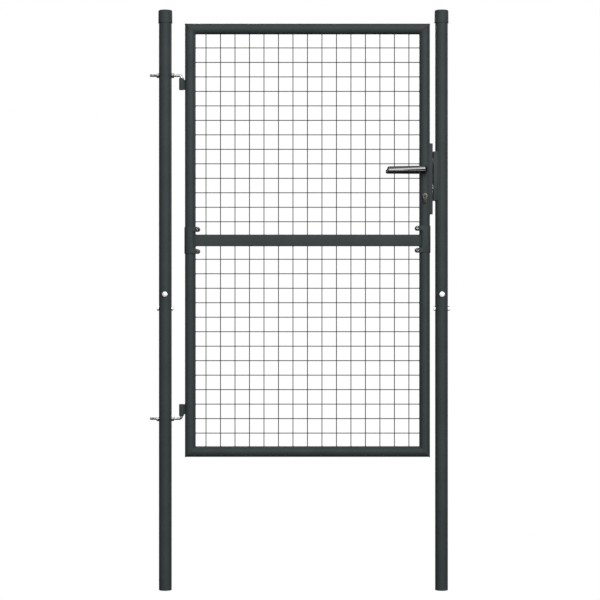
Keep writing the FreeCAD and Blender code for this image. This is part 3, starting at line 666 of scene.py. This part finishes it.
def cutStileForLock(bm, x):
    look = cutLook
    low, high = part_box("lock_case")
    openWindow(bm, Vector((x, -look["slotHalf"], low.z - look["past"])),
               Vector((x + look["reach"], look["slotHalf"], high.z + look["past"])))
    hole = look["hole"]
    for centre, halfWidth, lowZ, highZ in ((spindleAt, hole, -hole, hole), (keyAt, hole, -hole, hole),
                                           (keyAt, look["stemHalf"], look["stemLow"], look["stemHigh"])):
        for y0, y1 in ((-look["reach"], 0), (0, look["reach"])):
            openWindow(bm, Vector((centre.x - halfWidth, y0, centre.z + lowZ)),
                       Vector((centre.x + halfWidth, y1, centre.z + highZ)))


stileRadius = tubeLook["radius"]
beads = bmesh.new()
for railName, railZ, rise in (("top_rail", topRailZ, 1), ("bottom_rail", bottomRailZ, -1)):
    low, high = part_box(railName)
    bm = leafTube(0, high.x - low.x, standing(Vector((low.x, 0, railZ)), right))
    for side, x, outward in (("left", stileX["left"], -1), ("right", stileX["right"], 1)):
        mitre(bm, Vector((x, 0, railZ)), Vector((outward, 0, -rise)))
        half = side + "_stile_" + ("upper" if rise > 0 else "lower")
        end = railZ + rise * stileRadius
        stile = leafTube(min(crossbarZ, end), max(crossbarZ, end), Matrix.Translation((x, 0, 0)))
        mitre(stile, Vector((x, 0, railZ)), Vector((-outward, 0, rise)))
        if half == "right_stile_upper":
            cutStileForLock(stile, x)
        name = side + "Stile" + ("Upper" if rise > 0 else "Lower")
        addPiece(name, stile, "leaf", coatedLeaf, [half])
        path, out = [], []
        for i in range(tubeLook["beadSteps"]):
            t = fullTurn * i / tubeLook["beadSteps"]
            crown = Vector((math.cos(t), math.sin(t), outward * rise * math.cos(t)))
            tip = max(0, outward * math.cos(t)) ** 6  # the bead is dressed off at the outer tip
            depth = tubeLook["beadSink"] + tubeLook["beadDressed"] * tip
            path.append(Vector((x, 0, railZ)) + crown * (stileRadius - depth))
            out.append(Vector((math.cos(t), math.sin(t) * 1.4, outward * rise * math.cos(t))))
        weldBead(beads, path, out, True, tubeLook["beadWidth"], tubeLook["beadHeight"])
    addPiece(railName.replace("_r", "R"), bm, "leaf", coatedLeaf, [railName])
addPiece("cornerWelds", beads, "leaf", coatedLeaf, smooth=50)

# crossbar: 40 x 20 box section with rolled corners, coped and welded to the stiles
barLook = dict(corner=2.2 * mm, sink=3.4 * mm, depthHalf=10 * mm)
low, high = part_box("crossbar")
bm = bmesh.new()
size = high - low
size.x += barLook["sink"] * 2
bmesh.ops.create_cube(bm, size=1, matrix=Matrix.Translation((low + high) / 2) @ Matrix.Diagonal((*size, 1)))
lengthwise = [edge for edge in bm.edges if abs((edge.verts[0].co - edge.verts[1].co).x) > size.x / 2]
bmesh.ops.bevel(bm, geom=lengthwise, offset=barLook["corner"], offset_type="OFFSET", segments=5, profile=0.5,
                affect="EDGES", clamp_overlap=True, material=-1)
bmesh.ops.recalc_face_normals(bm, faces=bm.faces[:])
addPiece("crossbarTube", bm, "leaf", coatedLeaf, ["crossbar"])
beads = bmesh.new()
for x, inward in ((stileX["left"], 1), (stileX["right"], -1)):
    for y in (-barLook["depthHalf"], barLook["depthHalf"]):
        edgeBead(beads, roundFoot(x, stileRadius, y, inward, 0.4 * mm), y, low, high, 1 * mm, inward * 0.6,
                 2.4 * mm, 1.5 * mm)
    endBeads(beads, x, stileRadius, inward, 9, low, high, 1.4 * mm)
print("leaf frame made")


# saddles: 2 mm sheet bent round the stiles, edges deburred and coated
saddleLook = dict(ease=0.45 * mm, earOut=7.5 * mm, boltUp=38 * mm)
for side in ("left", "right"):
    addEased(side + "Saddle", side + "_saddle", saddleLook["ease"], "leaf", coatedLeaf)
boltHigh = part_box("saddle_bolts")[1]
earX = {"left": stileX["left"] + stileRadius + saddleLook["earOut"],
        "right": stileX["right"] - stileRadius - saddleLook["earOut"]}
bm = bmesh.new()
nuts = bmesh.new()
for side, x in earX.items():
    saddleZ = middle(side + "_saddle").z
    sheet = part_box(side + "_saddle")[1].y
    shank, end = smallBolt["thread"], 2 * sheet + 1 * mm
    for z in (saddleZ - saddleLook["boltUp"], saddleZ + saddleLook["boltUp"]):
        headAt = standing(Vector((x, -sheet, z)), front)
        addHexHead(bm, smallBolt, headAt)
        turned(bm, [(0, 0), (shank, 0), (shank, end), (0, end)], 24, standing(Vector((x, -sheet, z)), back),
               closed=False)
        nutAt = standing(Vector((x, sheet, z)), back)
        addThread(bm, smallBolt, boltHigh.y - sheet, nutAt)
        addNut(nuts, smallBolt, nutAt)
addPiece("saddleBolts", bm, "leaf", zincGlossy, ["saddle_bolts"], smooth=20)
addPiece("saddleNuts", nuts, "leaf", zincBolts, ["saddle_nuts"], smooth=20)

# hinge barrels and lugs, welded to the left stile
barrelLook = dict(outer=8.5 * mm, bore=5.06 * mm, ease=1.1 * mm, mouth=0.5 * mm, lugHalf=2 * mm,
                  lugEase=0.3 * mm, beadOut=0.7 * mm)
for level in ("upper", "lower"):
    low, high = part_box(level + "_hinge_barrel")
    outer, bore, ease, mouth = (barrelLook[key] for key in ("outer", "bore", "ease", "mouth"))
    profile = [(bore, low.z + mouth), (bore + mouth, low.z)]
    profile += arc(outer - ease, low.z + ease, ease, -90, 0, 4)
    profile += arc(outer - ease, high.z - ease, ease, 0, 90, 4)
    profile += [(bore + mouth, high.z), (bore, high.z - mouth)]
    bm = bmesh.new()
    turned(bm, profile, 64, Matrix.Translation((pinX, 0, 0)))
    addPiece(level + "HingeBarrel", bm, "leaf", coatedLeaf, [level + "_hinge_barrel"])
    addEased(level + "HingeLug", level + "_hinge_lug", barrelLook["lugEase"], "leaf", coatedLeaf)
    low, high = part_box(level + "_hinge_lug")
    for y in (-barrelLook["lugHalf"], barrelLook["lugHalf"]):
        crownY = y + math.copysign(barrelLook["beadOut"], y)
        for foot, lean in ((roundFoot(pinX, outer, y, 1), 0.5),
                           (roundFoot(stileX["left"], stileRadius, y, -1), -0.5)):
            edgeBead(beads, foot, crownY, low, high, 1.2 * mm, lean, 1.9 * mm, 1.3 * mm)
print("saddles and hinges made")


# welded mesh: drawn 3 mm wires, a pressed weld at each crossing and where a wire meets the frame;
# the upright wires lie in front, and the three squeezes flatten the welds
meshLook = dict(radius=1.5 * mm, gap=1.3 * mm, pitch=50 * mm, across=15, upward=13, sides=12, tuck=1 * mm,
                upperFirst=1270.5 * mm, lowerFirst=541 * mm, nugget=1.45 * mm, crossing=(1.35, 0.8, 1.35, 1),
                uprightEnd=(1.7, 1.7, 0.9, 1), levelEnd=(0.9, 1.7, 1.7, 1))
leafMiddle = (stileX["left"] + stileX["right"]) / 2
firstUpright = leafMiddle - (meshLook["across"] - 1) / 2 * meshLook["pitch"]
uprightX = [firstUpright + i * meshLook["pitch"] for i in range(meshLook["across"])]


def addWire(bm, at, along, length):
    bmesh.ops.create_cone(bm, cap_ends=True, segments=meshLook["sides"], radius1=meshLook["radius"],
                          radius2=meshLook["radius"], depth=length + meshLook["tuck"],
                          matrix=standing(at, along))


def addNugget(bm, x, y, z, squeeze, fineness):
    where = Matrix.Translation((x, y, z)) @ Matrix.Diagonal(meshLook[squeeze])
    bmesh.ops.create_icosphere(bm, subdivisions=fineness, radius=meshLook["nugget"], matrix=where)


for level in ("upper", "lower"):
    node = level + "_mesh"
    low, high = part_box(node)
    gap = meshLook["gap"]
    levelZ = [meshLook[level + "First"] + i * meshLook["pitch"] for i in range(meshLook["upward"])]
    bm = bmesh.new()
    for x in uprightX:
        addWire(bm, Vector((x, -gap, (low.z + high.z) / 2)), up, high.z - low.z)
    for z in levelZ:
        addWire(bm, Vector(((low.x + high.x) / 2, gap, z)), right, high.x - low.x)
    for x in uprightX:
        for z in levelZ:
            addNugget(bm, x, 0, z, "crossing", 1)
        for z in (low.z, high.z):
            addNugget(bm, x, -gap, z, "uprightEnd", 2)
    for z in levelZ:
        for x in (low.x, high.x):
            addNugget(bm, x, gap, z, "levelEnd", 2)
    # the wires get the coat with painted shade, darker than the frame's
    addPiece(level + "Mesh", bm, "leaf", wireCoatedWithPaintedShade, [node], smooth=60)
print("mesh made")


# lock pocket, forend and keep: folded and welded sheet
sheetLook = dict(pocketEase=0.7 * mm, forendEase=0.3 * mm, keepEase=0.5 * mm, pocketHalf=12 * mm,
                 keepHalf=18 * mm)
addEased("lockHousing", "lock_housing", sheetLook["pocketEase"], "leaf", coatedLeaf, segments=3)
addEased("lockForend", "lock_forend", sheetLook["forendEase"], "leaf", coatedLeaf)
addEased("keepSheet", "keep", sheetLook["keepEase"], "posts", coatedPost)
low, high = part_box("lock_housing")
for y in (-sheetLook["pocketHalf"], sheetLook["pocketHalf"]):
    edgeBead(beads, roundFoot(stileX["right"], stileRadius, y, 1), y * 1.02, low, high, 2 * mm, 0.4,
             2.2 * mm, 1.1 * mm)
endBeads(beads, stileX["right"], stileRadius, 1, 11, low, high, 1.3 * mm)
addPiece("leafWelds", beads, "leaf", coatedLeaf, smooth=50)
low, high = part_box("keep")
beads = bmesh.new()
for y in (-sheetLook["keepHalf"], sheetLook["keepHalf"]):
    edgeBead(beads, roundFoot(postX["latch"], postLook["radius"], y, -1, 0.4 * mm), y, low, high, 2 * mm,
             -0.4, 2.4 * mm, 1.2 * mm)
endBeads(beads, postX["latch"], postLook["radius"], -1, 16, low, high, 1.3 * mm)
addPiece("keepWelds", beads, "posts", coatedPost, smooth=50)

# forend screws: countersunk, hexagon socket
screwLook = dict(head=4.45 * mm, proud=0.4 * mm, flats=3 * mm, deep=1.8 * mm, core=2.5 * mm, length=6 * mm,
                 coneFoot=-2.2 * mm, coneTop=-0.3 * mm, ease=0.7 * mm, endIn=4.5 * mm)
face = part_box("lock_forend")[1].x
low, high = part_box("forend_screws")
bm = bmesh.new()
for z in (low.z + screwLook["endIn"], high.z - screwLook["endIn"]):
    core, head, proud, flats = (screwLook[key] for key in ("core", "head", "proud", "flats"))
    ringed(bm, [lambda a: (core, -screwLook["length"]), lambda a: (core, screwLook["coneFoot"]),
                lambda a: (head, screwLook["coneTop"]), lambda a: (head, 0.05 * mm),
                lambda a: (head - screwLook["ease"], proud), lambda a: (hexagonRadius(flats, a), proud),
                lambda a: (hexagonRadius(flats, a), proud - screwLook["deep"])],
           standing(Vector((face, 0, z)), right))
addPiece("forendScrews", bm, "leaf", zincBolts, ["forend_screws"], smooth=20)

# profile cylinder and its two plugs, and the bolts, with their machined edges broken
edgeWidth = dict(cylinder=0.35 * mm, plugs=0.25 * mm, latch=0.6 * mm, deadbolt=0.4 * mm)
addEased("cylinderBody", "cylinder_body", edgeWidth["cylinder"], "leaf", satinNickel,
         angle=40)
addEased("cylinderPlugs", "cylinder_plugs", edgeWidth["plugs"], "key_plug", darkNickel,
         angle=40)
addEased("latchBolt", "latch_bolt", edgeWidth["latch"], "latch", nickel, segments=3)
addEased("deadboltBar", "deadbolt", edgeWidth["deadbolt"], "deadbolt", nickel)
print("lock made")


# levers: die-cast, crowned outside, with a tight inner bend and a wide outer one
leverLook = dict(innerBend=4 * mm, outerBend=12 * mm, topDrop=3 * mm, bottomRise=0.7 * mm,
                 neckHalf=7.5 * mm, thickness=13 * mm, tipRound=3.2 * mm, arcSteps=5,
                 neckRings=(0, 1 * mm, 12 * mm), gripShares=(0.22, 0.45, 0.7, 0.92), endInset=1.2 * mm)
# half-width and half-height shares round the section at the neck and at the tip: sloped above,
# crowned outside, with the crown running from the middle of the neck to the lower edge of the tip
neckSection = [(0.93, -0.62), (0.99, -0.15), (0.955, 0.3), (0.82, 0.6), (0.6, 0.88), (0.2, 1.0)]
tipSection = [(0.985, -0.62), (0.955, -0.3), (0.92, -0.05), (0.76, 0.3), (0.56, 0.72), (0.25, 1.0)]
innerSection = [(-0.4, 1.0), (-0.86, 0.88), (-1.0, 0.5), (-1.0, 0.0), (-1.0, -0.5), (-0.86, -0.88),
                (-0.4, -1.0), (0.3, -1.0), (0.8, -0.98), (0.98, -0.84)]


def leverStations(low, high, x):
    # pairs of plan points, inner and outer, along the lever from its neck to its tip
    look = leverLook
    start, far = -high.y, -low.y
    near = far - look["thickness"]
    inner = Vector((x - look["neckHalf"] - look["innerBend"], near - look["innerBend"]))
    outer = Vector((x + look["neckHalf"] - look["outerBend"], far - look["outerBend"]))
    pairs = [((x - look["neckHalf"], start + rise), (x + look["neckHalf"], start + rise))
             for rise in look["neckRings"]]
    for i in range(look["arcSteps"] + 1):
        t = quarter * i / look["arcSteps"]
        pairs.append((tuple(inner + Vector((math.cos(t), math.sin(t))) * look["innerBend"]),
                      tuple(outer + Vector((math.cos(t), math.sin(t))) * look["outerBend"])))
    for share in look["gripShares"]:
        gripX = x + (low.x - x) * share
        pairs.append(((gripX, near), (gripX, far)))
    edge = look["tipRound"]
    for inset, squeeze in ((edge, 0), (edge * 0.3, edge * 0.3), (0, edge)):
        pairs.append(((low.x + inset, near + squeeze), (low.x + inset, far - squeeze)))
    return pairs


def addLever(name, node, way):
    # way is -1 for the front and 1 for the rear; the rear one is the front one mirrored
    look = leverLook
    low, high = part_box("front_lever")
    bm = bmesh.new()
    pairs = leverStations(low, high, spindleAt.x)
    ring = bmesh.ops.create_circle(bm, cap_ends=False, segments=16, radius=1)["verts"]
    edges = edgesOf(ring)
    firstEdges = edges
    for number, (inner, outer) in enumerate(pairs):
        if number:
            made, edges = pushedOut(bm, edges)
            # each new vertex keeps its place in the ring
            ring = [next(edge.other_vert(vertex) for edge in vertex.link_edges
                         if edge.other_vert(vertex) in made) for vertex in ring]
        share = (high.x - (inner[0] + outer[0]) / 2) / (high.x - low.x)
        top = high.z - look["topDrop"] * share
        bottom = low.z + look["bottomRise"] * share
        pinch = max(0, number - len(pairs) + 3) * look["tipRound"] * 0.45
        halfHeight = (top - bottom) / 2 - pinch
        crowned = [tuple(Vector(a).lerp(Vector(b), share)) for a, b in zip(neckSection, tipSection)]
        for vertex, (across, rise) in zip(ring, crowned + innerSection):
            spot = Vector(inner).lerp(Vector(outer), (1 + across) / 2)
            vertex.co = (spot.x, way * spot.y, (top + bottom) / 2 + rise * halfHeight)
    bmesh.ops.edgeloop_fill(bm, edges=firstEdges)
    bmesh.ops.edgeloop_fill(bm, edges=edges)
    bmesh.ops.recalc_face_normals(bm, faces=bm.faces[:])
    ends = [face for face in bm.faces if len(face.verts) > 4]
    bmesh.ops.inset_individual(bm, faces=ends, thickness=look["endInset"])
    piece = addPiece(name, bm, "handle", lacquer, [node], smooth=80)
    smoother = piece.modifiers.new("smoother", "SUBSURF")
    smoother.levels = 2
    smoother.render_levels = 2


addLever("frontLever", "front_lever", -1)
addLever("rearLever", "rear_lever", 1)
print("levers made")


# latch spring: five coils of 0.9 mm wire; wire is its radius. Nothing here closes it up as the latch is
# drawn back; closed that way it would go flatter than a real one could, because the bolt has no pocket for it
springLook = dict(radius=3.5 * mm, wire=0.45 * mm, turns=5, steps=24, closed=0.135)
low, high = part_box("latch_spring")
bm = bmesh.new()
foot = Vector((low.x, 0, middle("latch_spring").z))
lift = (high.x - low.x - 2 * springLook["wire"]) / (springLook["turns"] * springLook["steps"])
wireAt = Matrix.Translation((springLook["radius"], 0, springLook["wire"]))
made = bmesh.ops.create_circle(bm, cap_ends=False, segments=10, radius=springLook["wire"],
                               matrix=wireAt @ Matrix.Rotation(quarter, 4, "X"))["verts"]
firstEdges = edgesOf(made)
swept = bmesh.ops.spin(bm, geom=made + firstEdges, cent=(0, 0, 0), axis=(0, 0, 1), dvec=(0, 0, lift),
                       angle=fullTurn * springLook["turns"], steps=springLook["turns"] * springLook["steps"])
bmesh.ops.edgeloop_fill(bm, edges=firstEdges)
bmesh.ops.edgeloop_fill(bm, edges=lastEdges(swept))
bmesh.ops.recalc_face_normals(bm, faces=bm.faces[:])
bmesh.ops.transform(bm, matrix=standing(foot, right), verts=bm.verts[:])
spring = addPiece("latchSpring", bm, "leaf", springWire, ["latch_spring"])
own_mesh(spring)

# CAD nodes that are right as they are get their finish
kept = {
    galvanised: ["hinge_post_sleeve", "latch_post_sleeve", "left_stile_sleeve", "right_stile_sleeve"],
    zincSheet: ["lock_case", "lock_case_cover", "follower", "spindle", "cylinder_screw", "lever_grub_screws"],
    darkNickel: ["cylinder_cam"],
    nylon: ["lever_bushes"],
    springWire: ["follower_spring"],
}
for material, nodes in kept.items():
    for node in nodes:
        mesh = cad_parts[node].data
        mesh.materials.clear()
        mesh.materials.append(material)
print("kept nodes finished")


# studio: pale floor and surround, a large soft box in front, and others beside, above and behind;
# the floor and surround are white to the camera and dim to the object
studio = dict(surround="ffffff", glow=0.06, floorShade="505050", floorSize=16)
world = bpy.data.worlds.new("studio")
bpy.context.scene.world = world
world.use_nodes = True
tree = world.node_tree
tree.nodes.clear()
white = toLinear(studio["surround"])
seen = addNode(tree, "ShaderNodeBackground", {"Color": white, "Strength": 1.0})
glow = addNode(tree, "ShaderNodeBackground", {"Color": white, "Strength": studio["glow"]})
rays = addNode(tree, "ShaderNodeLightPath")
mix = addNode(tree, "ShaderNodeMixShader", links={0: rays.outputs["Is Camera Ray"], 1: glow.outputs[0],
                                                  2: seen.outputs[0]})
addNode(tree, "ShaderNodeOutputWorld", links={"Surface": mix.outputs[0]})

pale, tree, shader, place = newMaterial("paleStudioFloor", Roughness=0.9, Specular_IOR_Level=0.0)
shader.inputs["Base Color"].default_value = toLinear(studio["floorShade"])
bright = addNode(tree, "ShaderNodeEmission", {"Color": (1, 1, 1, 1), "Strength": 1.0})
rays = addNode(tree, "ShaderNodeLightPath")
mix = addNode(tree, "ShaderNodeMixShader", links={0: rays.outputs["Is Camera Ray"], 1: shader.outputs[0],
                                                  2: bright.outputs[0]})
tree.links.new(mix.outputs[0], tree.nodes["Material Output"].inputs["Surface"])
bm = bmesh.new()
bmesh.ops.create_grid(bm, x_segments=2, y_segments=2, size=studio["floorSize"] / 2)
mesh = bpy.data.meshes.new("floor")
bm.to_mesh(mesh)
bm.free()
mesh.materials.append(pale)
floor = bpy.data.objects.new("floor", mesh)
bpy.context.scene.collection.objects.link(floor)

softBoxes = dict(
    key=dict(at=(2.3, -8.0, 4.2), look=(0, 0, 1.0), width=6.5, height=4.2, power=640),
    fill=dict(at=(-4.5, -6.5, 2.6), look=(0, 0, 1.0), width=3.0, height=3.0, power=60),
    high=dict(at=(0.5, -6.0, 8.2), look=(0, 0, 1.0), width=8.0, height=3.4, power=110),
    top=dict(at=(0, -0.4, 5.2), look=(0, 0, 1.0), width=4.0, height=4.0, power=28),
    rear=dict(at=(-2.0, 6.2, 4.4), look=(0, 0, 1.0), width=4.0, height=3.0, power=420),
    rearSide=dict(at=(4.2, 5.0, 3.2), look=(0, 0, 1.0), width=2.4, height=2.4, power=110),
)
for name, box in softBoxes.items():
    light = bpy.data.lights.new(name, "AREA")
    light.shape = "RECTANGLE"
    light.size = box["width"]
    light.size_y = box["height"]
    light.energy = box["power"]
    lamp = bpy.data.objects.new(name, light)
    lamp.location = box["at"]
    lamp.rotation_euler = (Vector(box["look"]) - Vector(box["at"])).to_track_quat("-Z", "Y").to_euler()
    bpy.context.scene.collection.objects.link(lamp)

bpy.context.scene.view_settings.view_transform = "Standard"
# a straight front view from 6 m; width is what the picture takes in at the gate
view = dict(distance=6.0, height=1.0004, width=2.0706, sensor=36)
camera = bpy.data.cameras.new("camera")
camera.sensor_width = view["sensor"]
camera.lens = view["sensor"] * view["distance"] / view["width"]
cameraObject = bpy.data.objects.new("camera", camera)
cameraObject.location = (0, -view["distance"], view["height"])
cameraObject.rotation_euler = (quarter, 0, 0)
bpy.context.scene.collection.objects.link(cameraObject)
bpy.context.scene.camera = cameraObject
print("studio made")
